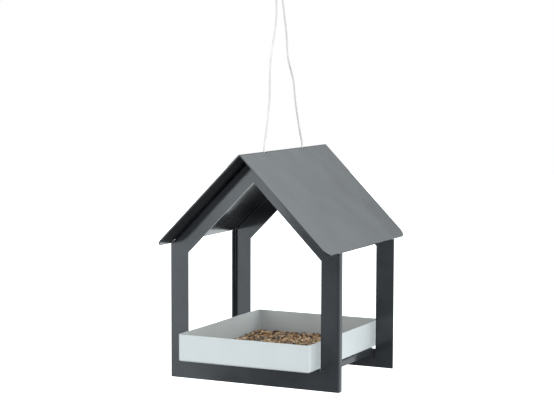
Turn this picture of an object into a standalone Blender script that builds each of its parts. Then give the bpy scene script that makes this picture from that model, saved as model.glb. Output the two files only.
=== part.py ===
"""Hanging garden bird feeder in the shape of a small open house.

Two folded gable frames of sheet steel stand one behind the other and carry a folded roof
sheet. A base pan joins their bottom rails, and a shallow seed tray slides through both
gable openings on top of it. One thin cord, knotted under the ridge at both ends, hangs it.

House coordinates, in metres: x = 0 on the middle plane, y = 0 on the front frame's outer
face, z = 0 on the frames' bottom edges, +Y to the back, +Z up. Everything is parented to an
empty that puts the world's origin where the cord's loop lies on its hook.
"""

from math import cos, pi, radians, sin, sqrt

import bmesh
import bpy
from mathutils import Matrix, Vector

MM = 0.001

# Sheet metal
SHEET = 1.5 * MM
BEND_RADIUS = 2.5 * MM
GAP = 0.3 * MM
EDGE_BREAK = 0.25 * MM

# Gable frames
FRAME_WIDTH = 200 * MM
FRAME_SPACING = 151 * MM
BAND = 21 * MM
RAKE_FLANGE_DEPTH = 8.5 * MM
STILE_FLANGE_DEPTH = 7.5 * MM
FLANGE_PLATE = 5 * MM
FLANGE_RELIEF = 5.5 * MM
RELIEF_SLOT = 0.3 * MM
STILE_TOP_SLOT = 0.3 * MM
FOLD_NOTCH_DEPTH = 3.5 * MM
ROOF_PITCH = radians(45)

# Roof sheet
RIDGE_HEIGHT = 248.8 * MM
ROOF_LENGTH = 216 * MM
ROOF_FRONT_OVERHANG = 32.5 * MM
ROOF_SLOPE_LENGTH = 143.2 * MM
EAVE_CORNER_RADIUS = 11 * MM
CORD_HOLE_RADIUS = 2.5 * MM
CORD_HOLES = (25.5 * MM, 121.2 * MM)

# Base pan
PAN_WIDTH = 154 * MM
PAN_TOP = 23.0 * MM
PAN_END_FLANGE = 13 * MM
PAN_SIDE_FLANGE = 7.5 * MM

# Seed tray
TRAY_WIDTH = 155.4 * MM
TRAY_LENGTH = 194.6 * MM
TRAY_HEIGHT = 28.9 * MM
TRAY_WALL = 1.2 * MM
TRAY_FRONT = -25.6 * MM
TRAY_CORNER_RADIUS = 4 * MM
TRAY_FLOOR_RADIUS = 1.6 * MM
SEED_DEPTH = 6.2 * MM
SEED_CLEARANCE = 0.6 * MM

# Fasteners: M3 weld studs and hexagon nuts
STUD_RADIUS = 1.5 * MM
STUD_HOLE_RADIUS = 1.9 * MM
STUD_LENGTH = 5.8 * MM
NUT_FLATS = 5.5 * MM
NUT_HEIGHT = 2.4 * MM
NUT_BORE_RADIUS = 1.8 * MM
STUD_LINE_DEPTH = 5.3 * MM
ROOF_STUD_PLACES = (28 * MM, 68 * MM)
BASE_STUD_X = 55 * MM
BASE_STUD_Z = 15.2 * MM

# Cord
CORD_DIAMETER = 2.4 * MM
LOOP_RADIUS = 6 * MM
LOOP_CENTRE = (61.2 * MM, 423.0 * MM)
LOOP_OPENING = radians(13)
KNOT_RADIUS = 3.4 * MM
KNOT_TAIL = 9 * MM
FRONT_STRAND = (
    (0.0, 25.5, 245.2), (0.0, 25.5, 249.0), (0.1, 27.1, 259.0), (0.3, 31.4, 275.7), (0.5, 35.0, 291.6),
    (0.4, 37.8, 307.5), (0.0, 39.1, 324.0), (-0.2, 40.2, 337.0), (-0.3, 43.2, 352.0), (-0.1, 48.0, 366.8),
    (0.2, 52.0, 380.0), (0.3, 54.0, 390.5), (0.1, 54.2, 402.0), (0.0, 54.3, 412.0),
)
BACK_STRAND = (
    (0.0, 68.4, 413.0), (0.0, 71.4, 404.5), (-0.2, 75.2, 392.0), (-0.4, 79.2, 380.5), (-0.3, 81.4, 369.0),
    (0.0, 82.3, 355.0), (0.2, 85.2, 343.5), (0.3, 91.4, 333.0), (0.3, 97.2, 322.5), (0.1, 101.0, 309.5),
    (-0.2, 105.6, 293.0), (-0.3, 111.2, 278.0), (-0.2, 116.6, 263.3), (0.0, 120.4, 254.0),
    (0.0, 121.2, 249.0), (0.0, 121.2, 245.2),
)

# Worked-out places
SLOPE = Vector((cos(ROOF_PITCH), 0, -sin(ROOF_PITCH)))
HALF_WIDTH = FRAME_WIDTH / 2
ROOF_UNDERSIDE = RIDGE_HEIGHT - SHEET / cos(ROOF_PITCH)
FRAME_APEX = ROOF_UNDERSIDE - GAP / cos(ROOF_PITCH)
OPENING_APEX = FRAME_APEX - BAND / cos(ROOF_PITCH)
TRAY_BOTTOM = PAN_TOP + GAP
LOOP_TOP = LOOP_CENTRE[1] + LOOP_RADIUS - CORD_DIAMETER / 2
HANGING_POINT = Vector((0, LOOP_CENTRE[0], LOOP_TOP))


def clear_scene():
    for item in list(bpy.data.objects):
        bpy.data.objects.remove(item, do_unlink=True)


def collection(name):
    group = bpy.data.collections.new(name)
    bpy.context.scene.collection.children.link(group)
    return group


def paint(name, colour, roughness, metallic):
    material = bpy.data.materials.new(name)
    material.use_nodes = True
    shader = material.node_tree.nodes["Principled BSDF"]
    shader.inputs["Base Color"].default_value = (*colour, 1)
    shader.inputs["Roughness"].default_value = roughness
    shader.inputs["Metallic"].default_value = metallic
    return material


clear_scene()
FEEDER = collection("bird_feeder")
CUTTERS = collection("bird_feeder_cutters")
ANTHRACITE = paint("anthracite_powder_coat", (0.035, 0.038, 0.043), 0.3, 0.0)
PALE_GREY = paint("pale_grey_powder_coat", (0.62, 0.65, 0.67), 0.4, 0.0)
DARK_ZINC = paint("black_zinc", (0.05, 0.05, 0.055), 0.4, 1.0)
WHITE_CORD = paint("white_braided_cord", (0.80, 0.81, 0.83), 0.8, 0.0)
SEEDS = paint("mixed_seed", (0.35, 0.22, 0.12), 0.7, 0.0)

HOUSE = bpy.data.objects.new("house_frame", None)
HOUSE.location = -HANGING_POINT
FEEDER.objects.link(HOUSE)


def add_part(name, mesh, material):
    """Link a finished mesh as one sub-part of the feeder."""
    mesh.shade_smooth()
    mesh.set_sharp_from_angle(angle=radians(35))
    mesh.materials.clear()
    mesh.materials.append(material)
    part = bpy.data.objects.new(name, mesh)
    part.parent = HOUSE
    FEEDER.objects.link(part)
    return part


def add_cutter(name, mesh):
    cutter = bpy.data.objects.new(name, mesh)
    cutter.parent = HOUSE
    cutter.hide_render = True
    cutter.display_type = "WIRE"
    CUTTERS.objects.link(cutter)
    return cutter


def combine(part, tool, operation):
    step = part.modifiers.new(operation.lower() + "_" + tool.name, "BOOLEAN")
    step.operation = operation
    step.object = tool
    step.solver = "EXACT"


def break_edges(part, width=EDGE_BREAK):
    """Take the sharp edge off cut sheet metal."""
    step = part.modifiers.new("edge_break", "BEVEL")
    step.width = width
    step.segments = 1
    step.limit_method = "ANGLE"
    step.angle_limit = radians(50)


def box_mesh(name, low, high):
    low, high = Vector(low), Vector(high)
    size = high - low
    work = bmesh.new()
    place = Matrix.Translation((low + high) / 2) @ Matrix.Diagonal((*size, 1))
    bmesh.ops.create_cube(work, size=1, matrix=place)
    mesh = bpy.data.meshes.new(name)
    work.to_mesh(mesh)
    work.free()
    return mesh


def cylinder_mesh(name, radius, length, place, segments=24):
    """A cylinder from the place's origin along its +Z."""
    work = bmesh.new()
    matrix = place @ Matrix.Translation((0, 0, length / 2))
    bmesh.ops.create_cone(
        work, cap_ends=True, segments=segments, radius1=radius, radius2=radius, depth=length, matrix=matrix)
    mesh = bpy.data.meshes.new(name)
    work.to_mesh(mesh)
    work.free()
    return mesh


def outline_mesh(name, outlines, depth, place):
    """Extrude flat closed outlines from z = 0 to z = depth, then put them at place."""
    curve = bpy.data.curves.new(name, "CURVE")
    curve.dimensions = "2D"
    curve.fill_mode = "BOTH"
    curve.extrude = depth / 2
    for points in outlines:
        spline = curve.splines.new("POLY")
        spline.points.add(len(points) - 1)
        for point, (u, v) in zip(spline.points, points):
            point.co = (u, v, 0, 1)
        spline.use_cyclic_u = True
    return curve_to_mesh(name, curve, place @ Matrix.Translation((0, 0, depth / 2)))


def curve_to_mesh(name, curve, place):
    """Turn a curve into a welded mesh at place, and remove the curve."""
    guide = bpy.data.objects.new(name + "_guide", curve)
    CUTTERS.objects.link(guide)
    graph = bpy.context.evaluated_depsgraph_get()
    mesh = bpy.data.meshes.new_from_object(guide.evaluated_get(graph))
    bpy.data.objects.remove(guide, do_unlink=True)
    bpy.data.curves.remove(curve)
    mesh.name = name
    work = bmesh.new()
    work.from_mesh(mesh)
    bmesh.ops.remove_doubles(work, verts=work.verts, dist=1e-6)
    bmesh.ops.recalc_face_normals(work, faces=work.faces)
    work.to_mesh(mesh)
    work.free()
    mesh.transform(place)
    return mesh


def arc(centre, radius, start, end, steps):
    """Points of an arc in a flat outline, angles in radians."""
    angles = [start + (end - start) * step / steps for step in range(steps + 1)]
    return [(centre[0] + radius * cos(a), centre[1] + radius * sin(a)) for a in angles]


def axes_matrix(origin, x_axis, y_axis):
    """A right-handed placement from two unit axes."""
    x_axis, y_axis = Vector(x_axis).normalized(), Vector(y_axis).normalized()
    z_axis = x_axis.cross(y_axis)
    matrix = Matrix((x_axis, y_axis, z_axis)).transposed().to_4x4()
    matrix.translation = origin
    return matrix


def pointing(origin, direction):
    """A placement whose +Z runs along direction."""
    matrix = Vector(direction).to_track_quat("Z", "Y").to_matrix().to_4x4()
    matrix.translation = origin
    return matrix


# ---------------------------------------------------------------- roof

def roof_sheet():
    """One sheet folded at the ridge, eave corners rounded, two holes for the cord."""
    inner = BEND_RADIUS - SHEET
    bend = (0, RIDGE_HEIGHT - BEND_RADIUS / cos(ROOF_PITCH))
    tip = SLOPE * ROOF_SLOPE_LENGTH
    normal = Vector((sin(ROOF_PITCH), 0, cos(ROOF_PITCH))) * SHEET
    outer_tip = (tip.x, RIDGE_HEIGHT + tip.z)
    inner_tip = (outer_tip[0] - normal.x, outer_tip[1] - normal.z)
    start, end = pi / 2 - ROOF_PITCH, pi / 2 + ROOF_PITCH
    outline = [inner_tip, outer_tip]
    outline += arc(bend, BEND_RADIUS, start, end, 6)
    outline += [(-outer_tip[0], outer_tip[1]), (-inner_tip[0], inner_tip[1])]
    outline += arc(bend, inner, end, start, 4)
    back = ROOF_LENGTH - ROOF_FRONT_OVERHANG
    place = axes_matrix((0, back, 0), (1, 0, 0), (0, 0, 1))
    roof = add_part("roof_sheet", outline_mesh("roof_sheet", [outline], ROOF_LENGTH, place), ANTHRACITE)
    for side in (1, -1):
        for end_y, inward in ((-ROOF_FRONT_OVERHANG, 1), (back, -1)):
            combine(roof, eave_corner_cutter(side, end_y, inward), "DIFFERENCE")
    for hole_y in CORD_HOLES:
        place = Matrix.Translation((0, hole_y, RIDGE_HEIGHT - 10 * MM))
        mesh = cylinder_mesh("cord_hole", CORD_HOLE_RADIUS, 20 * MM, place)
        combine(roof, add_cutter("cord_hole_cutter", mesh), "DIFFERENCE")
    break_edges(roof)
    return roof


def eave_corner_cutter(side, end_y, inward):
    """What a rounded corner takes away from a square one, cut square to its roof panel."""
    radius, spare = EAVE_CORNER_RADIUS, 3 * MM
    outline = [(-spare, -spare), (radius, -spare), (radius, 0)]
    outline += arc((radius, radius), radius, -pi / 2, -pi, 8)[1:]
    outline += [(-spare, radius)]
    slope = Vector((side * SLOPE.x, 0, SLOPE.z))
    corner = Vector((0, end_y, RIDGE_HEIGHT)) + slope * ROOF_SLOPE_LENGTH
    place = axes_matrix(corner, -slope, (0, inward, 0))
    through = 6 * SHEET
    mesh = outline_mesh("eave_corner", [outline], through, place @ Matrix.Translation((0, 0, -through / 2)))
    return add_cutter("eave_corner_cutter", mesh)


# ---------------------------------------------------------------- gable frames

def folded_edge(name, length, depth, place):
    """An L-shaped fold: local x to the outside edge, y into the house, extruded along z."""
    inner = BEND_RADIUS - SHEET
    centre = (-BEND_RADIUS, BEND_RADIUS)
    outline = [(-FLANGE_PLATE, 0)]
    outline += arc(centre, BEND_RADIUS, -pi / 2, 0, 4)
    outline += [(0, depth), (-SHEET, depth)]
    outline += arc(centre, inner, 0, -pi / 2, 3)
    outline += [(-FLANGE_PLATE, SHEET)]
    return outline_mesh(name, [outline], length, place)


def gable_ring():
    """The flat face of a gable frame, notched where its right stile and both rakes fold."""
    shoulder = FRAME_APEX - HALF_WIDTH
    corners = [
        Vector((-HALF_WIDTH, 0)), Vector((HALF_WIDTH, 0)), Vector((HALF_WIDTH, shoulder)),
        Vector((0, FRAME_APEX)), Vector((-HALF_WIDTH, shoulder)),
    ]
    stile = fold_notch(corners[1], corners[2], 0)
    stile[:2] = [corners[1] - Vector((FOLD_NOTCH_DEPTH, 0))]
    outer = [corners[0], *stile, *fold_notch(corners[2], corners[3])]
    outer += [corners[3], *fold_notch(corners[3], corners[4]), corners[4]]
    half_opening = HALF_WIDTH - BAND
    opening_shoulder = OPENING_APEX - half_opening
    opening = [
        (-half_opening, BAND), (-half_opening, opening_shoulder), (0, OPENING_APEX),
        (half_opening, opening_shoulder), (half_opening, BAND),
    ]
    place = axes_matrix((0, SHEET, 0), (1, 0, 0), (0, 0, 1))
    return outline_mesh("gable_frame", [outer, opening], SHEET, place)


def fold_notch(start, end, end_relief=FLANGE_RELIEF):
    """The four corners of the notch that a fold along start to end stands in."""
    along = (end - start).normalized()
    inward = Vector((-along.y, along.x)) * FOLD_NOTCH_DEPTH
    first, last = start + along * FLANGE_RELIEF, end - along * end_relief
    return [first, first + inward, last + inward, last]


def rake_direction(side):
    return Vector((side * SLOPE.x, 0, SLOPE.z))


def roof_normal(side):
    return Vector((side * sin(ROOF_PITCH), 0, cos(ROOF_PITCH)))


def frame_pieces():
    """The three folded edges of one gable frame; the stile's top is cut to the roof's slope."""
    stile_height = FRAME_APEX - HALF_WIDTH - STILE_TOP_SLOT
    stile = axes_matrix((HALF_WIDTH, 0, 0), (1, 0, 0), (0, 1, 0))
    flange = folded_edge("stile_flange", stile_height, STILE_FLANGE_DEPTH, stile)
    for vert in flange.vertices:
        if vert.co.z > stile_height / 2:
            vert.co.z += min(HALF_WIDTH - vert.co.x, SHEET)
    pieces = [flange]
    end_gap = FLANGE_RELIEF + RELIEF_SLOT
    rake_length = HALF_WIDTH / cos(ROOF_PITCH) - 2 * end_gap
    for side in (1, -1):
        along = rake_direction(side)
        start = Vector((0, 0, FRAME_APEX)) + along * (end_gap + rake_length if side == 1 else end_gap)
        place = axes_matrix(start, roof_normal(side), (0, 1, 0))
        pieces.append(folded_edge("rake_flange", rake_length, RAKE_FLANGE_DEPTH, place))
    return pieces


def gable_frames():
    """Two equal stampings, the back one turned half round to face the front one."""
    front = add_part("front_gable_frame", gable_ring(), ANTHRACITE)
    for mesh in frame_pieces():
        combine(front, add_cutter("frame_fold", mesh), "UNION")
    for side in (1, -1):
        for place in ROOF_STUD_PLACES:
            foot = Vector((0, STUD_LINE_DEPTH, ROOF_UNDERSIDE)) + rake_direction(side) * place
            through = pointing(foot + roof_normal(side) * 2 * MM, -roof_normal(side))
            mesh = cylinder_mesh("stud_hole", STUD_HOLE_RADIUS, 6 * MM, through, 16)
            combine(front, add_cutter("stud_hole_cutter", mesh), "DIFFERENCE")
    graph = bpy.context.evaluated_depsgraph_get()
    stamping = bpy.data.meshes.new_from_object(front.evaluated_get(graph))
    back = add_part("back_gable_frame", stamping, ANTHRACITE)
    back.location = (0, FRAME_SPACING, 0)
    back.rotation_euler = (0, 0, pi)


# ---------------------------------------------------------------- base pan

def base_pan():
    """An upside-down pan between the bottom rails, its end flanges taller than its sides."""
    ends = (SHEET + GAP, FRAME_SPACING - SHEET - GAP)
    half = PAN_WIDTH / 2
    bottom = PAN_TOP - PAN_END_FLANGE
    mesh = box_mesh("base_pan", (-half, ends[0], bottom), (half, ends[1], PAN_TOP))
    work = bmesh.new()
    work.from_mesh(mesh)
    floor = [face for face in work.faces if face.normal.z < -0.5]
    bmesh.ops.delete(work, geom=floor, context="FACES_ONLY")
    folds = [edge for edge in work.edges if not edge.is_boundary]
    bmesh.ops.bevel(work, geom=folds, offset=BEND_RADIUS, segments=3, profile=0.5, affect="EDGES")
    work.to_mesh(mesh)
    work.free()
    pan = add_part("base_pan", mesh, ANTHRACITE)
    shell = pan.modifiers.new("sheet", "SOLIDIFY")
    shell.thickness = SHEET
    shell.offset = -1
    shell.use_even_offset = True
    clear = 5 * MM
    low = (-half - clear, ends[0] + clear, bottom - clear)
    high = (half + clear, ends[1] - clear, PAN_TOP - PAN_SIDE_FLANGE)
    combine(pan, add_cutter("side_flange_cutter", box_mesh("side_trim", low, high)), "DIFFERENCE")
    for hole in base_stud_places():
        place = pointing(hole[0] - hole[1] * 2 * MM, hole[1])
        mesh = cylinder_mesh("base_hole", STUD_HOLE_RADIUS, 8 * MM, place, 16)
        combine(pan, add_cutter("base_hole_cutter", mesh), "DIFFERENCE")
    return pan


def base_stud_places():
    """Where each base stud meets its rail's inner face, and which way it points."""
    places = []
    for end_y, inward in ((SHEET, 1), (FRAME_SPACING - SHEET, -1)):
        for side in (-1, 1):
            places.append((Vector((side * BASE_STUD_X, end_y, BASE_STUD_Z)), Vector((0, inward, 0))))
    return places


# ---------------------------------------------------------------- tray and seed

def seed_tray():
    """A shallow open box with rounded upright corners."""
    half = TRAY_WIDTH / 2
    low = (-half, TRAY_FRONT, TRAY_BOTTOM)
    high = (half, TRAY_FRONT + TRAY_LENGTH, TRAY_BOTTOM + TRAY_HEIGHT)
    mesh = box_mesh("seed_tray", low, high)
    work = bmesh.new()
    work.from_mesh(mesh)
    lid = [face for face in work.faces if face.normal.z > 0.5]
    bmesh.ops.delete(work, geom=lid, context="FACES_ONLY")
    uprights = [edge for edge in work.edges if abs(edge.verts[0].co.z - edge.verts[1].co.z) > TRAY_HEIGHT / 2]
    bmesh.ops.bevel(work, geom=uprights, offset=TRAY_CORNER_RADIUS, segments=5, profile=0.5, affect="EDGES")
    floor_edges = [edge for edge in work.edges if max(vert.co.z for vert in edge.verts) < TRAY_BOTTOM + GAP]
    bmesh.ops.bevel(work, geom=floor_edges, offset=TRAY_FLOOR_RADIUS, segments=3, profile=0.5, affect="EDGES")
    work.to_mesh(mesh)
    work.free()
    tray = add_part("seed_tray", mesh, PALE_GREY)
    shell = tray.modifiers.new("sheet", "SOLIDIFY")
    shell.thickness = TRAY_WALL
    shell.offset = -1
    shell.use_even_offset = True
    return tray


def seed_bed():
    """The layer of loose seed that covers the tray's floor, slightly heaped to the right."""
    half = TRAY_WIDTH / 2 - TRAY_WALL - SEED_CLEARANCE
    front = TRAY_FRONT + TRAY_WALL + SEED_CLEARANCE
    back = TRAY_FRONT + TRAY_LENGTH - TRAY_WALL - SEED_CLEARANCE
    bottom = TRAY_BOTTOM + TRAY_WALL + GAP
    top = bottom + SEED_DEPTH
    corner = TRAY_CORNER_RADIUS
    mesh = box_mesh("seed_bed", (-half, front, bottom), (half, back, top))
    work = bmesh.new()
    work.from_mesh(mesh)
    uprights = [edge for edge in work.edges if abs(edge.verts[0].co.z - edge.verts[1].co.z) > SEED_DEPTH / 2]
    bmesh.ops.bevel(work, geom=uprights, offset=corner, segments=2, profile=0.5, affect="EDGES")
    lid = [face for face in work.faces if face.normal.z > 0.5]
    for axis, low, high in ((0, -half, half), (1, front, back)):
        steps = 12
        for step in range(1, steps):
            place = Vector((0, 0, 0))
            place[axis] = low + (high - low) * step / steps
            normal = Vector((0, 0, 0))
            normal[axis] = 1
            lid = [face for face in work.faces if face.normal.z > 0.5]
            edges = list({edge for face in lid for edge in face.edges})
            verts = list({vert for face in lid for vert in face.verts})
            bmesh.ops.bisect_plane(work, geom=verts + edges + lid, plane_co=place, plane_no=normal)
    for vert in work.verts:
        if vert.co.z > top - 1e-6:
            across, along = vert.co.x / half, (vert.co.y - front) / (back - front)
            ripple = 0.9 * sin(5.1 * across + 1.0) * cos(6.3 * along)
            swell = 0.5 * across + ripple + 0.5 * cos(11 * along - 4 * across)
            vert.co.z = top + swell * MM
    bmesh.ops.triangulate(work, faces=[face for face in work.faces if face.normal.z > 0.5])
    work.to_mesh(mesh)
    work.free()
    return add_part("seed_bed", mesh, SEEDS)


# ---------------------------------------------------------------- cord

def smooth_route(points, step):
    """Points about step apart on a Catmull-Rom curve through the given points."""
    padded = [points[0] * 2 - points[1], *points, points[-1] * 2 - points[-2]]
    route = []
    for before, start, end, after in zip(padded, padded[1:], padded[2:], padded[3:]):
        pieces = max(1, round((end - start).length / step))
        for piece in range(pieces):
            t = piece / pieces
            bow = 2 * before - 5 * start + 4 * end - after
            twist = 3 * start - before - 3 * end + after
            route.append(0.5 * (2 * start + (end - before) * t + bow * t ** 2 + twist * t ** 3))
    route.append(points[-1])
    return route


def cord_points():
    """The cord's route: up from the front hole, over the hook, down to the back hole."""
    front = [Vector(point) * MM for point in FRONT_STRAND]
    back = [Vector(point) * MM for point in BACK_STRAND]
    centre_y, centre_z = LOOP_CENTRE
    loop = []
    for step in range(5):
        angle = pi - LOOP_OPENING - (pi - 2 * LOOP_OPENING) * step / 4
        loop.append(Vector((0, centre_y + LOOP_RADIUS * cos(angle), centre_z + LOOP_RADIUS * sin(angle))))
    return front + loop + back


def hanging_cord():
    route = smooth_route(cord_points(), 2.2 * CORD_DIAMETER)
    curve = bpy.data.curves.new("hanging_cord", "CURVE")
    curve.dimensions = "3D"
    curve.bevel_depth = CORD_DIAMETER / 2
    curve.bevel_resolution = 2
    curve.use_fill_caps = True
    spline = curve.splines.new("POLY")
    spline.points.add(len(route) - 1)
    for point, place in zip(spline.points, route):
        point.co = (*place, 1)
    curve.materials.append(WHITE_CORD)
    cord = bpy.data.objects.new("hanging_cord", curve)
    cord.parent = HOUSE
    FEEDER.objects.link(cord)
    return cord


def cord_knot(name, hole_y):
    """The stopper knot under the ridge, with its short tail hanging down."""
    centre = Vector((0, hole_y, ROOF_UNDERSIDE - (KNOT_RADIUS + GAP) / cos(ROOF_PITCH)))
    work = bmesh.new()
    bmesh.ops.create_uvsphere(work, u_segments=16, v_segments=10, radius=KNOT_RADIUS,
                              matrix=Matrix.Translation(centre))
    mesh = bpy.data.meshes.new(name)
    work.to_mesh(mesh)
    work.free()
    knot = add_part(name, mesh, WHITE_CORD)
    tail = cylinder_mesh("tail", CORD_DIAMETER / 2, KNOT_RADIUS + KNOT_TAIL, pointing(centre, (0, 0, -1)), 12)
    combine(knot, add_cutter(name + "_tail", tail), "UNION")
    return knot


# ---------------------------------------------------------------- fasteners

def stud(name, foot, direction):
    """A weld stud standing on a sheet's face, a hair clear of it."""
    mesh = cylinder_mesh(name, STUD_RADIUS, STUD_LENGTH, pointing(foot + direction * GAP, direction), 16)
    part = add_part(name, mesh, DARK_ZINC)
    break_edges(part, 0.3 * MM)
    return part


def nut(name, foot, direction):
    """A hexagon nut on a stud, against the flange that the stud passes through."""
    seat = foot + direction * (SHEET + 2 * GAP)
    place = pointing(seat, direction)
    hexagon = arc((0, 0), NUT_FLATS / sqrt(3), 0, 2 * pi * 5 / 6, 5)
    bore = arc((0, 0), NUT_BORE_RADIUS, 0, -2 * pi * 15 / 16, 15)
    mesh = outline_mesh(name, [hexagon, bore], NUT_HEIGHT, place)
    return add_part(name, mesh, DARK_ZINC)


def roof_fasteners():
    for end, depth in (("front", STUD_LINE_DEPTH), ("back", FRAME_SPACING - STUD_LINE_DEPTH)):
        for label, side in (("right", 1), ("left", -1)):
            for number, place in enumerate(ROOF_STUD_PLACES, 1):
                foot = Vector((0, depth, ROOF_UNDERSIDE)) + rake_direction(side) * place
                tag = f"{end}_{label}_{number}"
                stud("roof_stud_" + tag, foot, -roof_normal(side))
                nut("roof_nut_" + tag, foot, -roof_normal(side))


def base_fasteners():
    for number, (foot, direction) in enumerate(base_stud_places(), 1):
        stud(f"base_stud_{number}", foot, direction)
        nut(f"base_nut_{number}", foot, direction)


def main():
    roof_sheet()
    gable_frames()
    base_pan()
    seed_tray()
    seed_bed()
    hanging_cord()
    cord_knot("front_cord_knot", CORD_HOLES[0])
    cord_knot("back_cord_knot", CORD_HOLES[1])
    roof_fasteners()
    base_fasteners()


main()
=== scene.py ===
"""Looks of the hanging bird feeder: powder-coated sheet steel, a braided cord with real overhand
knots, threaded fasteners and a tray of loose mixed seed, in plain soft studio light.

Lengths in the named constants are millimetres in house coordinates: x = 0 on the middle plane,
y = 0 on the front frame's outer face, z = 0 on the frames' bottom edges.
"""

from math import cos, pi, radians, sin

import bpy
import numpy as np
from mathutils import Matrix, Vector


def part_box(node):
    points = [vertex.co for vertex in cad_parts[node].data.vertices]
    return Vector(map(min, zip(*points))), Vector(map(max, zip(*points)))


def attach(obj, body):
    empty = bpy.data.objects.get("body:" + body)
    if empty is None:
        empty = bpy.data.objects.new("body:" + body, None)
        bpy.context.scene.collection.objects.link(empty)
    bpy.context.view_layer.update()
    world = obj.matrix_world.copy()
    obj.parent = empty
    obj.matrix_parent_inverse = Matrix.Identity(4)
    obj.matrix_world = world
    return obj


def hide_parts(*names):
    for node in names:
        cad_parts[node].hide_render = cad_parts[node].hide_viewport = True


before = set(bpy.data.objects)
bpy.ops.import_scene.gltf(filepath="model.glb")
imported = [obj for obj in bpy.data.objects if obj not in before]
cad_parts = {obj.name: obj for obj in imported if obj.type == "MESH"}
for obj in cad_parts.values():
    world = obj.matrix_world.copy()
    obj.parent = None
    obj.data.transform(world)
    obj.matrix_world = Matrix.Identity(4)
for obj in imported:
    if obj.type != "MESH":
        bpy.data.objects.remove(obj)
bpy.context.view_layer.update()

MM = 0.001

# Camera
CAMERA_PLACE = (788.8, -1571.5, 358.9)
CAMERA_YAW = 0.451
CAMERA_PITCH = -0.096
CAMERA_ROLL = 0.003
CAMERA_LENS = 108.58

# Cord
CORD_DIAMETER = 2.4
LOOP_RADIUS = 6.0
LOOP_CENTRE = (61.2, 423.0)
LOOP_OPENING = radians(13)
FRONT_STRAND = (
    (0.0, 25.5, 245.2), (0.0, 25.5, 249.0), (0.1, 27.1, 259.0), (0.3, 31.4, 275.7), (0.5, 35.0, 291.6),
    (0.4, 37.8, 307.5), (0.0, 39.1, 324.0), (-0.2, 40.2, 337.0), (-0.3, 43.2, 352.0), (-0.1, 48.0, 366.8),
    (0.2, 52.0, 380.0), (0.3, 54.0, 390.5), (0.1, 54.2, 402.0), (0.0, 54.3, 412.0),
)
BACK_STRAND = (
    (0.0, 68.4, 413.0), (0.0, 71.4, 404.5), (-0.2, 75.2, 392.0), (-0.4, 79.2, 380.5), (-0.3, 81.4, 369.0),
    (0.0, 82.3, 355.0), (0.2, 85.2, 343.5), (0.3, 91.4, 333.0), (0.3, 97.2, 322.5), (0.1, 101.0, 309.5),
    (-0.2, 105.6, 293.0), (-0.3, 111.2, 278.0), (-0.2, 116.6, 263.3), (0.0, 120.4, 254.0),
    (0.0, 121.2, 249.0), (0.0, 121.2, 245.2),
)
BRAID_TURN = 8.0
BRAID_YARNS = 4
BRAID_STEP = BRAID_TURN / 24
CORD_STEP = 0.8

# Braid: shares of the cord's radius, and the sides of each tube
YARN_PATH = 0.66
YARN_WAVE = 0.14
YARN_HALF_THICK = 0.2
YARN_HALF_WIDE = 0.43
YARN_SIDES = 5
CORE_SHARE = 0.6
CORE_SIDES = 6

# Knots: x runs up the cord, and the points and the tail are scaled by KNOT_SCALE
KNOT_CORD_SHARE = 0.95
KNOT_STEP = 0.5
KNOT_DROP = 9.2
KNOT_SCALE = (0.95, 0.95, 1.25)
KNOT_OPENING = 0.62
KNOT_TURN_STEPS = 18
KNOT_LEAD = ((9.6, 0.0, 0.0), (6.6, -0.1, 0.0), (4.6, -0.9, 0.35), (3.0, -2.2, 0.8), (1.9, -2.5, 0.95))
KNOT_EXIT = ((-1.9, -2.5, -0.95), (-3.0, -2.2, -0.8), (-4.3, -1.2, -0.4), (-5.6, -0.5, 0.0))
TAIL_LENGTH = 8.5

# Fasteners
STUD_RADIUS = 1.5
STUD_LENGTH = 5.8
NUT_FLATS = 5.5
NUT_HEIGHT = 2.4
NUT_BORE_RADIUS = 1.8
THREAD_PITCH = 0.5
THREAD_DEPTH = 0.27
STUD_PLAIN_FOOT = 0.7
STUD_TIP_CHAMFER = 0.45
NUT_CHAMFER = 0.35
NUT_END_SHARE = 1.015
NUT_THREAD_DEPTH = 0.2
ROOF_PITCH = radians(45)

# Seed
SEED_TOP = 29.9
SEED_FLOOR = 24.8
SEED_MARGIN = 0.35
SEED_INSET = 0.2
SEED_DRAW = 20
SEED_JITTER = 0.38
SEED_LEVELS = (
    # how far below the heap's top, and the grid spacing
    (3.1, (5.6, 3.9)),
    (1.6, (5.6, 3.9)),
    (0.3, (8.0, 6.4)),
)
MILLET_COUNT = 750
MILLET_SIZES = (1.1, 1.0, 0.95)
MILLET_MARGIN = 1.6
UNDERLAY_DRAW = 5
UNDERLAY_COUNTS = (62, 78)
UNDERLAY_DEPTH = 3.6
UNDERLAY_LUMPS = 0.6

# Materials: noise in features per metre, bump heights in metres
COAT_CLOUD = 22
COAT_SPECK = 2600
COAT_PEEL = 850
COAT_PEEL_HEIGHT = 0.00002
COAT_WAVE = 14
COAT_WAVE_HEIGHT = 0.0004
ZINC_PATCH = 600
ZINC_GRAIN = 3000
ZINC_GRAIN_HEIGHT = 0.00001
CORD_FIBRE = 7000
CORD_FIBRE_HEIGHT = 0.00004
CORD_SOIL = 60
HUSK_GRAIN = 1800
CRUMB_GRAIN = 700
HUSK_GRAIN_HEIGHT = 0.00012

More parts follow.
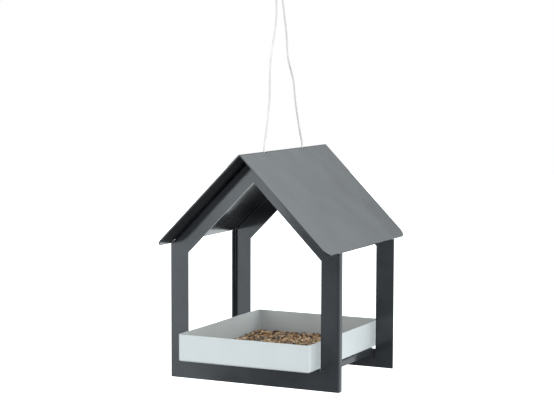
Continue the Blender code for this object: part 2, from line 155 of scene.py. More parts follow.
# Studio: floor in metres, directions are from the object, angles in degrees, levels in units of plain white
COOL_WHITE = (0.925, 0.985, 1.0)
FLOOR_HALF_SIZE = 14.0
FLOOR_DROP = 0.9
SKY_LEVEL = 0.62
UPPER_LEVEL = 1.3
UPPER_AXIS = (0.62, 0.0, 0.78)
UPPER_EDGE = (0.33, 0.405)
GROUND_LEVEL = 0.32
GROUND_EDGE = (-0.42, -0.24)
DARK_PATCH = ((-0.1, -0.97, -0.05), 30, 45, 0.9)
SKY_GLOWS = (
    ((0.42, 0.87, -0.27), 6, 34, 0.7),
    ((-0.1, -0.87, -0.48), 8, 20, 1.2),
    ((-0.09, 0.87, -0.48), 10, 26, 1.6),
)
SOFTBOXES = (
    # name, middle of the right edge, tilt, width, height, level
    ("front_left_softbox", (-888, -2000, 0), radians(24), 2200, 2400, 2.3),
    ("upper_softbox", (-880, -1990, 310), 0, 760, 800, 1.6),
    ("hot_strip", (-880, -1980, 320), 0, 230, 760, 1.6),
    ("dim_wall", (-772, -2010, 0), 0, 620, 800, 0.8),
)

FRONT_LOW, FRONT_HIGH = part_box("front_gable_frame")
HOUSE = Vector(((FRONT_LOW.x + FRONT_HIGH.x) / 2, FRONT_LOW.y, FRONT_LOW.z))


def house(x, y, z):
    """A point in house millimetres, as metres in the row frame."""
    return HOUSE + Vector((x, y, z)) * MM


# ---------------------------------------------------------------- camera

def make_camera():
    data = bpy.data.cameras.new("camera")
    data.lens = CAMERA_LENS
    data.clip_start = 0.05
    data.clip_end = 60
    camera = bpy.data.objects.new("camera", data)
    bpy.context.scene.collection.objects.link(camera)
    turn = Matrix.Rotation(CAMERA_YAW, 4, "Z") @ Matrix.Rotation(pi / 2 + CAMERA_PITCH, 4, "X")
    roll = Matrix.Rotation(CAMERA_ROLL, 4, "Z")
    camera.matrix_world = Matrix.Translation(house(*CAMERA_PLACE)) @ turn @ roll
    bpy.context.scene.camera = camera


# ---------------------------------------------------------------- meshes

def make_object(name, mesh, material):
    mesh.materials.append(material)
    piece = bpy.data.objects.new(name, mesh)
    bpy.context.scene.collection.objects.link(piece)
    return piece


def mesh_from(name, verts, faces, smooth=True):
    mesh = bpy.data.meshes.new(name)
    mesh.from_pydata([tuple(v) for v in verts], [], faces)
    mesh.validate()
    if smooth:
        mesh.shade_smooth()
    return mesh


def smooth_route(points, step):
    """Points about step apart on a Catmull-Rom curve through the given points."""
    padded = [points[0] * 2 - points[1], *points, points[-1] * 2 - points[-2]]
    route = []
    for before, start, end, after in zip(padded, padded[1:], padded[2:], padded[3:]):
        pieces = max(1, round((end - start).length / step))
        for piece in range(pieces):
            t = piece / pieces
            bow = 2 * before - 5 * start + 4 * end - after
            twist = 3 * start - before - 3 * end + after
            route.append(0.5 * (2 * start + (end - before) * t + bow * t ** 2 + twist * t ** 3))
    route.append(points[-1])
    return route


def even_route(points, step):
    """The same line with points exactly evenly spaced, about step apart."""
    line = np.array([tuple(p) for p in points])
    along = np.concatenate([[0], np.cumsum(np.linalg.norm(np.diff(line, axis=0), axis=1))])
    count = max(2, round(along[-1] / step))
    places = np.linspace(0, along[-1], count + 1)
    return [Vector(p) for p in np.stack([np.interp(places, along, line[:, k]) for k in range(3)], axis=1)]


def moving_frames(route):
    """Tangent, normal and binormal at each point, carried along without twist."""
    tangents = []
    for index in range(len(route)):
        before, after = route[max(0, index - 1)], route[min(len(route) - 1, index + 1)]
        tangents.append((after - before).normalized())
    normal = tangents[0].orthogonal().normalized()
    frames = []
    for tangent in tangents:
        normal = (normal - tangent * normal.dot(tangent)).normalized()
        frames.append((tangent, normal, tangent.cross(normal)))
    return frames


def tube_rows(rows, first_index):
    """Faces that join rows of equal point counts into a closed tube with end caps."""
    around = len(rows[0])
    faces = []
    for row in range(len(rows) - 1):
        a, b = first_index + row * around, first_index + (row + 1) * around
        for k in range(around):
            n = (k + 1) % around
            faces.append((a + k, a + n, b + n, b + k))
    faces.append(tuple(first_index + k for k in reversed(range(around))))
    last = first_index + (len(rows) - 1) * around
    faces.append(tuple(last + k for k in range(around)))
    return faces


def braid_mesh(name, route, radius):
    """A round braid: two families of yarns that cross over and under round a thin core."""
    frames = moving_frames(route)
    mid, wave = radius * YARN_PATH, radius * YARN_WAVE
    half_thick, half_wide = radius * YARN_HALF_THICK, radius * YARN_HALF_WIDE
    section = [
        (half_thick * cos(2 * pi * k / YARN_SIDES), half_wide * sin(2 * pi * k / YARN_SIDES))
        for k in range(YARN_SIDES)]
    step = (route[1] - route[0]).length / MM
    verts, faces = [], []
    for family in (1, -1):
        for yarn in range(BRAID_YARNS):
            rows = []
            for index, (point, (tangent, normal, binormal)) in enumerate(zip(route, frames)):
                phase = 2 * pi * index * step / BRAID_TURN
                angle = family * phase + 2 * pi * yarn / BRAID_YARNS
                outward = normal * cos(angle) + binormal * sin(angle)
                round_about = binormal * cos(angle) - normal * sin(angle)
                slant = family * 2 * pi * mid / (BRAID_TURN * MM)
                heading = (tangent + round_about * slant).normalized()
                across = outward.cross(heading)
                centre = point + outward * (mid + family * wave * cos(BRAID_YARNS * phase))
                rows.append([centre + outward * thick + across * wide for thick, wide in section])
            faces += tube_rows(rows, len(verts))
            verts += [v for row in rows for v in row]
    core_angles = [2 * pi * k / CORE_SIDES for k in range(CORE_SIDES)]
    rows = []
    for point, (tangent, normal, binormal) in list(zip(route, frames))[::3] + [(route[-1], frames[-1])]:
        spokes = [normal * cos(angle) + binormal * sin(angle) for angle in core_angles]
        rows.append([point + spoke * radius * CORE_SHARE for spoke in spokes])
    faces += tube_rows(rows, len(verts))
    verts += [v for row in rows for v in row]
    return mesh_from(name, verts, faces)


# ---------------------------------------------------------------- cord and knots

def cord_route():
    """The cord's centreline, as in the frame: front hole, over the hook, back hole."""
    front = [Vector(point) for point in FRONT_STRAND]
    back = [Vector(point) for point in BACK_STRAND]
    centre_y, centre_z = LOOP_CENTRE
    loop = []
    for step in range(5):
        angle = pi - LOOP_OPENING - (pi - 2 * LOOP_OPENING) * step / 4
        y = centre_y + LOOP_RADIUS * cos(angle)
        z = centre_z + LOOP_RADIUS * sin(angle)
        loop.append(Vector((0, y, z)))
    line = smooth_route(front + loop + back, CORD_STEP)
    return even_route([house(*point) for point in line], BRAID_STEP * MM)


def knot_route(hole_y, top_z, turned):
    """An overhand knot under the ridge: in from above, round and through itself, tail down."""
    sx, sy, sz = KNOT_SCALE
    centre_z = top_z - KNOT_DROP
    turns = []
    for step in range(KNOT_TURN_STEPS + 1):
        t = pi + KNOT_OPENING + (2 * pi - 2 * KNOT_OPENING) * step / KNOT_TURN_STEPS
        turns.append((sin(t) + 2 * sin(2 * t), cos(t) - 2 * cos(2 * t), -sin(3 * t)))
    tail_start = KNOT_EXIT[-1][0]
    tail = [(tail_start - TAIL_LENGTH * 0.5, -0.1, 0.35), (tail_start - TAIL_LENGTH, 0.9, 0.3)]
    line = [
        Vector((sz * z * turned, sy * y * turned, sx * x))
        for x, y, z in (*KNOT_LEAD, *turns, *KNOT_EXIT, *tail)]
    line = smooth_route(line, KNOT_STEP)
    return even_route([house(p.x, hole_y + p.y, centre_z + p.z) for p in line], BRAID_STEP * MM)


def make_cord(material):
    """The braided cord over its hook and the two knots under the ridge."""
    route = cord_route()
    radius = CORD_DIAMETER / 2 * MM
    cord = make_object("braided_cord", braid_mesh("braided_cord", route, radius), material)
    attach(cord, "house")
    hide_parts("hanging_cord")
    for name, hole, turned in (("front", FRONT_STRAND[0], 1), ("back", BACK_STRAND[-1], -1)):
        line = knot_route(hole[1], hole[2], turned)
        mesh = braid_mesh(name + "_overhand_knot", line, radius * KNOT_CORD_SHARE)
        knot = make_object(name + "_overhand_knot", mesh, material)
        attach(knot, "house")
        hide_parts(name + "_cord_knot")


# ---------------------------------------------------------------- fasteners

def pointing(origin, direction):
    """A placement whose +Z runs along direction."""
    matrix = direction.to_track_quat("Z", "Y").to_matrix().to_4x4()
    matrix.translation = origin
    return matrix


def thread_radius(crest, depth, angle, height):
    """The radius of a right-handed vee thread at one place on it."""
    turn = (height / THREAD_PITCH - angle / (2 * pi)) % 1.0
    return crest - depth * abs(2 * turn - 1)


def stud_mesh(name, place):
    """A threaded stud, chamfered at its tip, centred on its placement."""
    around, steps = 20, 46
    rows = []
    for step in range(steps + 1):
        height = STUD_LENGTH * step / steps
        row = []
        for k in range(around):
            angle = 2 * pi * k / around
            radius = STUD_RADIUS
            if height > STUD_PLAIN_FOOT:
                radius = thread_radius(STUD_RADIUS, THREAD_DEPTH, angle, height)
            radius = min(radius, STUD_RADIUS - STUD_TIP_CHAMFER + (STUD_LENGTH - height))
            point = Vector((radius * cos(angle), radius * sin(angle), height - STUD_LENGTH / 2))
            row.append(place @ (point * MM))
        rows.append(row)
    return mesh_from(name, [v for row in rows for v in row], tube_rows(rows, 0), smooth=False)


def nut_mesh(name, place):
    """A hexagon nut with chamfered corners and a threaded bore, centred on its placement."""
    around, bore_steps = 48, 18
    profile = [(0.0, False), (NUT_CHAMFER, True), (NUT_HEIGHT - NUT_CHAMFER, True), (NUT_HEIGHT, False)]
    rows = []
    for height, full in profile:
        row = []
        for k in range(around):
            angle = 2 * pi * k / around
            hexagon = NUT_FLATS / 2 / cos((angle % (pi / 3)) - pi / 6)
            radius = hexagon if full else min(hexagon, NUT_FLATS / 2 * NUT_END_SHARE)
            row.append((radius * cos(angle), radius * sin(angle), height))
        rows.append(row)
    for step in range(bore_steps + 1):
        height = NUT_HEIGHT * (1 - step / bore_steps)
        flare = max(0.0, NUT_THREAD_DEPTH - min(height, NUT_HEIGHT - height))
        row = []
        for k in range(around):
            angle = 2 * pi * k / around
            thread = thread_radius(NUT_BORE_RADIUS, NUT_THREAD_DEPTH, angle, height)
            radius = min(NUT_BORE_RADIUS, thread + flare)
            row.append((radius * cos(angle), radius * sin(angle), height))
        rows.append(row)
    verts = [place @ (Vector((x, y, z - NUT_HEIGHT / 2)) * MM) for row in rows for x, y, z in row]
    faces = []
    for row in range(len(rows)):
        a, b = row * around, (row + 1) % len(rows) * around
        for k in range(around):
            n = (k + 1) % around
            faces.append((a + k, a + n, b + n, b + k))
    return mesh_from(name, verts, faces, smooth=False)


def fastener_direction(name):
    """Which way a stud points: into the house from its rail, or square down from its roof panel."""
    if name.startswith("base"):
        return Vector((0, 1 if name[-1] in "12" else -1, 0))
    side = 1 if "right" in name else -1
    return Vector((-side * sin(ROOF_PITCH), 0, -cos(ROOF_PITCH)))


def make_fasteners(material):
    """A threaded stud or nut in place of each plain one."""
    for name in sorted(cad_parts):
        if "_stud_" not in name and "_nut_" not in name:
            continue
        low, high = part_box(name)
        place = pointing((low + high) / 2, fastener_direction(name))
        build = stud_mesh if "_stud_" in name else nut_mesh
        piece = make_object("threaded_" + name, build("threaded_" + name, place), material)
        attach(piece, "house")
        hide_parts(name)


# ---------------------------------------------------------------- materials

def new_material(name):
    material = bpy.data.materials.new(name)
    material.use_nodes = True
    nodes = material.node_tree.nodes
    return material, nodes, material.node_tree.links, nodes["Principled BSDF"]


def noise_node(nodes, links, coords, scale, detail=2.0, roughness=0.5):
    node = nodes.new("ShaderNodeTexNoise")
    node.inputs["Scale"].default_value = scale
    node.inputs["Detail"].default_value = detail
    node.inputs["Roughness"].default_value = roughness
    links.new(coords, node.inputs["Vector"])
    return node.outputs["Fac"]


def ramp(nodes, links, value, stops):
    """A colour ramp through (position, colour) stops."""
    node = nodes.new("ShaderNodeValToRGB")
    while len(node.color_ramp.elements) < len(stops):
        node.color_ramp.elements.new(0.5)
    for element, (place, colour) in zip(node.color_ramp.elements, stops):
        element.position = place
        element.color = (*colour, 1)
    links.new(value, node.inputs["Fac"])
    return node.outputs["Color"]


def remap(nodes, links, value, low, high, out_low, out_high, curve="LINEAR"):
    """One range of values stretched to another, and held at its ends."""
    node = nodes.new("ShaderNodeMapRange")
    node.interpolation_type = curve
    node.inputs["From Min"].default_value = low
    node.inputs["From Max"].default_value = high
    node.inputs["To Min"].default_value = out_low
    node.inputs["To Max"].default_value = out_high
    links.new(value, node.inputs["Value"])
    return node.outputs["Result"]


def plus_share(nodes, links, base, share, extra):
    """One value plus a share of another."""
    node = nodes.new("ShaderNodeMath")
    node.operation = "MULTIPLY_ADD"
    node.inputs[1].default_value = share
    links.new(extra, node.inputs[0])
    links.new(base, node.inputs[2])
    return node.outputs[0]


def bump(nodes, links, height, distance, below=None):
    """A surface normal bent by a height, on top of another bent normal if there is one."""
    node = nodes.new("ShaderNodeBump")
    node.inputs["Strength"].default_value = 1.0
    node.inputs["Distance"].default_value = distance
    links.new(height, node.inputs["Height"])
    if below:
        links.new(below, node.inputs["Normal"])
    return node.outputs["Normal"]


def powder_coat(name, dark, light, smooth, rough, specular, tint, haze):
    """Powder coat on sheet steel: fine orange peel, slow waves in the sheet, uneven gloss."""
    material, nodes, links, shader = new_material(name)
    coords = nodes.new("ShaderNodeTexCoord").outputs["Object"]
    cloud = noise_node(nodes, links, coords, COAT_CLOUD, 4, 0.6)
    speck = noise_node(nodes, links, coords, COAT_SPECK, 2)
    blend = plus_share(nodes, links, cloud, 0.35, speck)
    colour = ramp(nodes, links, blend, [(0.45, dark), (0.9, light)])
    links.new(colour, shader.inputs["Base Color"])
    links.new(remap(nodes, links, cloud, 0.3, 0.7, smooth, rough), shader.inputs["Roughness"])
    shader.inputs["Specular IOR Level"].default_value = specular
    shader.inputs["Specular Tint"].default_value = (*tint, 1)
    shader.inputs["Coat Weight"].default_value = haze
    shader.inputs["Coat Roughness"].default_value = 0.5
    peel = noise_node(nodes, links, coords, COAT_PEEL, 2)
    wave = noise_node(nodes, links, coords, COAT_WAVE, 1)
    peeled = bump(nodes, links, peel, COAT_PEEL_HEIGHT)
    links.new(bump(nodes, links, wave, COAT_WAVE_HEIGHT, peeled), shader.inputs["Normal"])
    return material


def zinc_material():
    """Black zinc plating: patchy grey-brown metal with a fine grain."""
    material, nodes, links, shader = new_material("black_zinc_plating")
    coords = nodes.new("ShaderNodeTexCoord").outputs["Object"]
    patch = noise_node(nodes, links, coords, ZINC_PATCH, 4, 0.65)
    stops = [(0.3, (0.06, 0.062, 0.068)), (0.6, (0.13, 0.13, 0.135)), (0.8, (0.24, 0.22, 0.19))]
    links.new(ramp(nodes, links, patch, stops), shader.inputs["Base Color"])
    links.new(remap(nodes, links, patch, 0.3, 0.7, 0.28, 0.46), shader.inputs["Roughness"])
    grain = noise_node(nodes, links, coords, ZINC_GRAIN, 2)
    links.new(bump(nodes, links, grain, ZINC_GRAIN_HEIGHT), shader.inputs["Normal"])
    shader.inputs["Metallic"].default_value = 1.0
    return material


def cord_material():
    """White polyester yarn: fine fibres, a little sheen and a faint grey in the hollows."""
    material, nodes, links, shader = new_material("white_braid")
    coords = nodes.new("ShaderNodeTexCoord").outputs["Object"]
    fibre = noise_node(nodes, links, coords, CORD_FIBRE, 2, 0.6)
    soil = noise_node(nodes, links, coords, CORD_SOIL, 3)
    blend = plus_share(nodes, links, soil, 0.4, fibre)
    colour = ramp(nodes, links, blend, [(0.4, (0.71, 0.68, 0.67)), (0.8, (0.86, 0.825, 0.815))])
    links.new(colour, shader.inputs["Base Color"])
    shader.inputs["Roughness"].default_value = 0.8
    shader.inputs["Sheen Weight"].default_value = 0.3
    links.new(bump(nodes, links, fibre, CORD_FIBRE_HEIGHT), shader.inputs["Normal"])
    return material


def seed_material(name, stops, rough, striped=False, grain=HUSK_GRAIN):
    """A husk: each seed has its own tone, fine grain along it, and for some kinds stripes."""
    material, nodes, links, shader = new_material(name)
    coords = nodes.new("ShaderNodeTexCoord").outputs["Object"]
    tone = nodes.new("ShaderNodeAttribute")
    tone.attribute_name = "tone"
    fine = noise_node(nodes, links, coords, grain, 3, 0.6)
    blend = plus_share(nodes, links, tone.outputs["Fac"], 0.3, fine)
    colour = ramp(nodes, links, remap(nodes, links, blend, 0.1, 1.2, 0, 1), stops)
    if striped:
        uv = nodes.new("ShaderNodeUVMap").outputs["UV"]
        stripe = nodes.new("ShaderNodeTexWave")
        stripe.bands_direction = "X"
        stripe.inputs["Scale"].default_value = 1.9
        stripe.inputs["Distortion"].default_value = 0.6
        stripe.inputs["Detail Scale"].default_value = 2
        links.new(uv, stripe.inputs["Vector"])
        over = nodes.new("ShaderNodeMix")
        over.data_type = "RGBA"
        over.inputs["B"].default_value = (0.46, 0.36, 0.25, 1)
        links.new(remap(nodes, links, stripe.outputs["Fac"], 0.62, 0.8, 0, 0.85), over.inputs["Factor"])
        links.new(colour, over.inputs["A"])
        colour = over.outputs["Result"]
    links.new(colour, shader.inputs["Base Color"])
    shader.inputs["Roughness"].default_value = rough
    links.new(bump(nodes, links, fine, HUSK_GRAIN_HEIGHT), shader.inputs["Normal"])
    return material


# ---------------------------------------------------------------- seed

def seed_height(x, y, box_low, box_high):
    """The heap's top in house millimetres at a place on the tray."""
    across = x / ((box_high.x - box_low.x) / 2)
    along = (y - box_low.y) / (box_high.y - box_low.y)
    ripple = 0.5 * np.sin(5.1 * across + 1.0) * np.cos(6.3 * along)
    return SEED_TOP + 0.5 * across + ripple + 0.4 * np.cos(11 * along - 4 * across)


def grain_template(around, rings, blunt, pointed, crease=0.0):
    """A unit seed along x from -1 to 1: verts, faces, and a (round, along) pair for each vertex."""
    verts, places = [(-1.0, 0.0, 0.0)], [(0.0, 0.0)]
    for ring in range(1, rings + 1):
        u = -cos(pi * ring / (rings + 1))
        girth = (1 - abs(u) ** blunt) ** 0.5
        girth *= 1 - pointed * (u + 1) / 2 * 0.55
        for k in range(around):
            angle = 2 * pi * k / around
            dent = 1 - crease * max(0.0, cos(angle)) ** 6
            verts.append((u, girth * sin(angle), girth * cos(angle) * dent))
            places.append((k / around, (u + 1) / 2))
    verts.append((1.0, 0.0, 0.0))
    places.append((0.0, 1.0))
    faces = [(0, 1 + (k + 1) % around, 1 + k) for k in range(around)]
    for ring in range(rings - 1):
        a, b = 1 + ring * around, 1 + (ring + 1) * around
        for k in range(around):
            n = (k + 1) % around
            faces.append((a + k, a + n, b + n, b + k))
    last = 1 + (rings - 1) * around
    faces += [(last + k, last + (k + 1) % around, len(verts) - 1) for k in range(around)]
    return np.array(verts), faces, np.array(places)


def turn_matrices(yaw, tilt, roll):
    """Rotation matrices, one for each seed."""
    cy, sy = np.cos(yaw), np.sin(yaw)
    ct, st = np.cos(tilt), np.sin(tilt)
    cr, sr = np.cos(roll), np.sin(roll)
    zero, one = np.zeros_like(yaw), np.ones_like(yaw)
    about_z = np.array([[cy, -sy, zero], [sy, cy, zero], [zero, zero, one]]).transpose(2, 0, 1)
    about_y = np.array([[ct, zero, -st], [zero, one, zero], [st, zero, ct]]).transpose(2, 0, 1)
    about_x = np.array([[one, zero, zero], [zero, cr, -sr], [zero, sr, cr]]).transpose(2, 0, 1)
    return about_z @ about_y @ about_x


def grain_cloud(name, template, sizes, turns, centres, tones, material):
    """All the seeds of one kind as one mesh, each with its own tone and none through the tray's floor."""
    verts, faces, places = template
    count, per = len(centres), len(verts)
    shaped = verts[None] * sizes[:, None]
    world = np.einsum("nij,nkj->nki", turns, shaped) + centres[:, None]
    lowest = world[:, :, 2].min(axis=1)
    world[:, :, 2] += np.maximum(0, SEED_FLOOR - lowest)[:, None]
    world = world.reshape(-1, 3) * MM + np.array(HOUSE)
    mesh = bpy.data.meshes.new(name)
    lengths = np.array([len(face) for face in faces])
    corners = np.concatenate([np.array(face) for face in faces])
    loops = (corners[None] + per * np.arange(count)[:, None]).reshape(-1)
    totals = np.tile(lengths, count)
    mesh.vertices.add(count * per)
    mesh.vertices.foreach_set("co", world.reshape(-1).astype(np.float32))
    mesh.loops.add(len(loops))
    mesh.loops.foreach_set("vertex_index", loops.astype(np.int32))
    mesh.polygons.add(len(totals))
    starts = np.concatenate([[0], np.cumsum(totals)[:-1]])
    mesh.polygons.foreach_set("loop_start", starts.astype(np.int32))
    mesh.update(calc_edges=True)
    mesh.validate()
    mesh.shade_smooth()
    tone = mesh.attributes.new("tone", "FLOAT", "POINT")
    tone.data.foreach_set("value", np.repeat(tones, per).astype(np.float32))
    uv = mesh.uv_layers.new(name="UVMap")
    uv.data.foreach_set("uv", np.tile(places, (count, 1))[loops].reshape(-1).astype(np.float32))
    piece = make_object(name, mesh, material)
    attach(piece, "tray")
    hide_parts("seed_bed")


def scattered(draw, low, high, spacing):
    """Jittered grid places in a rectangle, in a shuffled order."""
    nx = max(1, int((high[0] - low[0]) / spacing[0]))
    ny = max(1, int((high[1] - low[1]) / spacing[1]))
    gx, gy = np.meshgrid(np.arange(nx), np.arange(ny))
    gx = (gx + 0.5 * (gy % 2)).ravel() + draw.uniform(-SEED_JITTER, SEED_JITTER, nx * ny) + 0.5
    gy = gy.ravel() + draw.uniform(-SEED_JITTER, SEED_JITTER, nx * ny) + 0.5
    x = low[0] + gx * (high[0] - low[0]) / nx
    y = low[1] + gy * (high[1] - low[1]) / ny
    places = np.stack([x, y], axis=1)
    return places[draw.permutation(len(places))]


SEED_KINDS = (
    # name, share, half sizes, template, colour stops, roughness, striped
    ("wheat_grains", 0.42, (3.4, 1.2, 1.1), (6, 5, 2.6, 0.15, 0.35),
     [(0.0, (0.10, 0.038, 0.014)), (0.5, (0.43, 0.235, 0.105)), (1.0, (0.92, 0.65, 0.41))], 0.55, False),
    ("husked_kernels", 0.18, (3.5, 1.45, 1.05), (6, 5, 2.2, 0.7, 0.0),
     [(0.0, (0.36, 0.21, 0.11)), (0.5, (0.70, 0.49, 0.32)), (1.0, (0.93, 0.77, 0.58))], 0.6, False),
    ("dark_seeds", 0.28, (2.9, 1.3, 0.95), (6, 4, 2.2, 0.3, 0.0),
     [(0.0, (0.012, 0.005, 0.003)), (0.6, (0.04, 0.016, 0.008)), (1.0, (0.11, 0.046, 0.022))], 0.42, False),
    ("striped_seeds", 0.12, (4.6, 2.0, 1.3), (8, 5, 2.3, 0.8, 0.0),
     [(0.0, (0.02, 0.016, 0.014)), (1.0, (0.06, 0.048, 0.04))], 0.5, True),
)


def make_seed():
    """Loose seed over the whole tray floor: four kinds of long grain, millet, and what lies below."""
    draw = np.random.RandomState(SEED_DRAW)
    low, high = (Vector((v - HOUSE) / MM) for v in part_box("seed_bed"))
    inside = ((low.x + SEED_INSET, low.y + SEED_INSET), (high.x - SEED_INSET, high.y - SEED_INSET))
    places, levels = [], []
    for drop, spacing in SEED_LEVELS:
        spots = scattered(draw, *inside, spacing)
        places.append(spots)
        levels.append(np.full(len(spots), drop))
    places, levels = np.concatenate(places), np.concatenate(levels)
    pick = draw.uniform(0, 1, len(places))
    start = 0.0
    for name, share, half, shape, stops, rough, striped in SEED_KINDS:
        chosen = (pick >= start) & (pick < start + share)
        start += share
        spots, drop = places[chosen], levels[chosen]
        count = len(spots)
        sizes = np.array(half) * draw.normal(1.0, 0.09, (count, 1)).clip(0.75, 1.25)
        sizes = sizes * draw.normal(1.0, 0.05, (count, 3)).clip(0.85, 1.15)
        yaw = draw.uniform(0, 2 * pi, count)
        tilt = draw.normal(0, 0.22, count).clip(-0.6, 0.6)
        roll = draw.normal(0, 0.3, count)
        reach_x = np.abs(np.cos(yaw)) * sizes[:, 0] + np.abs(np.sin(yaw)) * sizes[:, 1] + SEED_MARGIN
        reach_y = np.abs(np.sin(yaw)) * sizes[:, 0] + np.abs(np.cos(yaw)) * sizes[:, 1] + SEED_MARGIN
        x = np.clip(spots[:, 0], low.x + reach_x, high.x - reach_x)
        y = np.clip(spots[:, 1], low.y + reach_y, high.y - reach_y)
        z = seed_height(x, y, low, high) - drop - sizes[:, 2] * 0.6 + draw.uniform(-0.5, 0.5, count)
        tones = draw.uniform(0, 1, count)
        material = seed_material(name + "_husk", stops, rough, striped)
        grain_cloud(name, grain_template(*shape), sizes, turn_matrices(yaw, tilt, roll),
                    np.stack([x, y, z], axis=1), tones, material)
    make_millet(draw, low, high)
    seed_underlay(low, high)


def make_millet(draw, low, high):
    """Small round grains between the long ones."""
    count = MILLET_COUNT
    x = draw.uniform(low.x + MILLET_MARGIN, high.x - MILLET_MARGIN, count)
    y = draw.uniform(low.y + MILLET_MARGIN, high.y - MILLET_MARGIN, count)
    z = seed_height(x, y, low, high) - draw.uniform(-0.2, 1.6, count)
    sizes = np.array(MILLET_SIZES) * draw.normal(1.0, 0.08, (count, 1)).clip(0.8, 1.2)
    turns = turn_matrices(*(draw.uniform(0, 2 * pi, count) for _ in range(3)))
    stops = [(0.0, (0.42, 0.21, 0.08)), (0.6, (0.62, 0.39, 0.18)), (1.0, (0.74, 0.56, 0.34))]
    millet = seed_material("millet_husk", stops, 0.35)
    grain_cloud("millet", grain_template(6, 3, 2.0, 0.0), sizes, turns, np.stack([x, y, z], axis=1),
                draw.uniform(0, 1, count), millet)


def seed_underlay(low, high):
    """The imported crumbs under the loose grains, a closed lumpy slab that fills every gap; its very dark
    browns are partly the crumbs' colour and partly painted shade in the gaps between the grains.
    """
    draw = np.random.RandomState(UNDERLAY_DRAW)
    nx, ny = UNDERLAY_COUNTS
    xs = np.linspace(low.x + SEED_INSET, high.x - SEED_INSET, nx)
    ys = np.linspace(low.y + SEED_INSET, high.y - SEED_INSET, ny)
    gx, gy = np.meshgrid(xs, ys)
    lumps = draw.uniform(-UNDERLAY_LUMPS, UNDERLAY_LUMPS, gx.shape)
    top = seed_height(gx, gy, low, high) - UNDERLAY_DEPTH + lumps
    verts = [house(x, y, z) for x, y, z in zip(gx.ravel(), gy.ravel(), top.ravel())]
    verts += [house(x, y, SEED_FLOOR) for x, y in zip(gx.ravel(), gy.ravel())]
    count = nx * ny
    faces = []
    for j in range(ny - 1):
        for i in range(nx - 1):
            a = j * nx + i
            faces.append((a, a + 1, a + nx + 1, a + nx))
            faces.append((count + a, count + a + nx, count + a + nx + 1, count + a + 1))
    for i in range(nx - 1):
        faces.append((i + 1, i, count + i, count + i + 1))
        a = (ny - 1) * nx + i
        faces.append((a, a + 1, count + a + 1, count + a))
    for j in range(ny - 1):
        a = j * nx
        faces.append((a, a + nx, count + a + nx, count + a))
        b = a + nx - 1
        faces.append((b + nx, b, count + b, count + b + nx))
    mesh = mesh_from("seed_underlay", verts, faces)
    tone = mesh.attributes.new("tone", "FLOAT", "POINT")
    tone.data.foreach_set("value", draw.uniform(0, 0.8, len(verts)).astype(np.float32))
    # Very dark browns: partly the crumbs' own colour, partly painted shade for the gaps between the grains.
    stops = [(0.0, (0.012, 0.006, 0.003)), (0.5, (0.05, 0.025, 0.014)), (1.0, (0.15, 0.085, 0.05))]
    material = seed_material("packed_crumbs_and_painted_gap_shade", stops, 0.8, grain=CRUMB_GRAIN)
    piece = make_object("seed_underlay", mesh, material)
    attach(piece, "tray")
    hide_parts("seed_bed")


# ---------------------------------------------------------------- surroundings

def make_floor():
    """A plain pale floor well below the hanging feeder."""
    size = FLOOR_HALF_SIZE
    z = HOUSE.z - FLOOR_DROP
    corners = [(-size, -size, z), (size, -size, z), (size, size, z), (-size, size, z)]
    material, _, _, shader = new_material("pale_floor")
    shader.inputs["Base Color"].default_value = (0.86, 0.86, 0.86, 1)
    shader.inputs["Roughness"].default_value = 0.9
    shader.inputs["Emission Color"].default_value = (1, 1, 1, 1)
    shader.inputs["Emission Strength"].default_value = 0.6
    floor = make_object("floor", mesh_from("floor", corners, [(0, 1, 2, 3)], smooth=False), material)
    floor.visible_glossy = False
    floor.visible_diffuse = False


def sky_patch(nodes, links, direction, axis, inner, outer, strength):
    """A soft round patch on the sky, from full inside one angle to none outside another."""
    near = along_axis(nodes, links, direction, Vector(axis).normalized())
    return soft_step(nodes, links, near, cos(radians(outer)), cos(radians(inner)), 0, strength)


def along_axis(nodes, links, direction, axis):
    """How far a direction points along an axis."""
    dot = nodes.new("ShaderNodeVectorMath")
    dot.operation = "DOT_PRODUCT"
    dot.inputs[1].default_value = axis
    links.new(direction, dot.inputs[0])
    return dot.outputs["Value"]


def soft_step(nodes, links, value, low, high, out_low, out_high):
    """The same as remap, but eased at both ends."""
    return remap(nodes, links, value, low, high, out_low, out_high, "SMOOTHSTEP")


def math_node(nodes, links, operation, first, second):
    node = nodes.new("ShaderNodeMath")
    node.operation = operation
    for socket, value in zip(node.inputs, (first, second)):
        if isinstance(value, (int, float)):
            socket.default_value = value
        else:
            links.new(value, socket)
    return node.outputs[0]


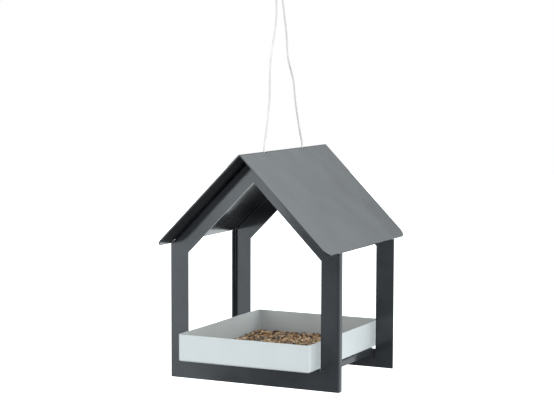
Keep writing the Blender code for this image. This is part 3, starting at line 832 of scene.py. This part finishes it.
def make_world():
    """A white studio: the camera sees plain white, and the light on the object is shaped."""
    world = bpy.data.worlds.new("studio")
    world.use_nodes = True
    bpy.context.scene.world = world
    nodes, links = world.node_tree.nodes, world.node_tree.links
    direction = nodes.new("ShaderNodeTexCoord").outputs["Generated"]
    split = nodes.new("ShaderNodeSeparateXYZ")
    links.new(direction, split.inputs[0])
    total = sky_patch(nodes, links, direction, *DARK_PATCH)
    total = math_node(nodes, links, "SUBTRACT", 1.0, total)
    total = math_node(nodes, links, "MULTIPLY", total, SKY_LEVEL)
    above = soft_step(nodes, links, split.outputs["Z"], *GROUND_EDGE, 0, 1)
    total = math_node(nodes, links, "MULTIPLY", total, above)
    ground = soft_step(nodes, links, split.outputs["Z"], *GROUND_EDGE, GROUND_LEVEL, 0)
    total = math_node(nodes, links, "ADD", total, ground)
    for glow in SKY_GLOWS:
        total = math_node(nodes, links, "ADD", total, sky_patch(nodes, links, direction, *glow))
    across = along_axis(nodes, links, direction, UPPER_AXIS)
    upper = soft_step(nodes, links, across, *UPPER_EDGE, 0, UPPER_LEVEL)
    total = math_node(nodes, links, "ADD", total, upper)
    sight = nodes.new("ShaderNodeLightPath").outputs["Is Camera Ray"]
    strength = nodes.new("ShaderNodeMix")
    strength.inputs["B"].default_value = 1.0
    links.new(sight, strength.inputs["Factor"])
    links.new(total, strength.inputs["A"])
    colour = nodes.new("ShaderNodeMix")
    colour.data_type = "RGBA"
    colour.inputs["A"].default_value = (*COOL_WHITE, 1)
    colour.inputs["B"].default_value = (1, 1, 1, 1)
    links.new(sight, colour.inputs["Factor"])
    links.new(colour.outputs["Result"], nodes["Background"].inputs["Color"])
    links.new(strength.outputs["Result"], nodes["Background"].inputs["Strength"])


def softbox(name, edge, tilt, width, height, radiance):
    """An area light that faces +Y, with its right edge through a point and leaning by tilt."""
    data = bpy.data.lights.new(name, "AREA")
    data.shape = "RECTANGLE"
    data.size, data.size_y = width * MM, height * MM
    data.energy = radiance * data.size * data.size_y * pi
    data.color = COOL_WHITE
    light = bpy.data.objects.new(name, data)
    light.visible_camera = False
    across, upward = Vector((cos(tilt), 0, -sin(tilt))), Vector((sin(tilt), 0, cos(tilt)))
    turn = Matrix((across, upward, (0, -1, 0))).transposed().to_4x4()
    light.matrix_world = Matrix.Translation(house(*edge) - across * width / 2 * MM) @ turn
    bpy.context.scene.collection.objects.link(light)


def make_lights():
    for box in SOFTBOXES:
        softbox(*box)


# ---------------------------------------------------------------- the whole

def finish_carried_nodes(anthracite, pale):
    """Give the sheet-metal nodes that stay as they are their powder coats."""
    for name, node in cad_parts.items():
        if name in ("roof_sheet", "front_gable_frame", "back_gable_frame", "base_pan"):
            material = anthracite
        elif name == "seed_tray":
            material = pale
        else:
            continue
        node.data.materials.clear()
        node.data.materials.append(material)


make_camera()
make_cord(cord_material())
anthracite_coat = powder_coat(
    "anthracite_coat", dark=(0.022, 0.0235, 0.027), light=(0.036, 0.038, 0.043), smooth=0.1, rough=0.14,
    specular=0.3, tint=(0.93, 0.955, 1.0), haze=0.2)
pale_coat = powder_coat(
    "pale_grey_coat", dark=(0.571, 0.595, 0.60), light=(0.614, 0.634, 0.638), smooth=0.36, rough=0.46,
    specular=0.5, tint=(1.0, 1.0, 1.0), haze=0.0)
finish_carried_nodes(anthracite_coat, pale_coat)
make_fasteners(zinc_material())
make_seed()
make_floor()
make_world()
make_lights()
bpy.context.scene.view_settings.view_transform = "Standard"

bpy.context.view_layer.update()
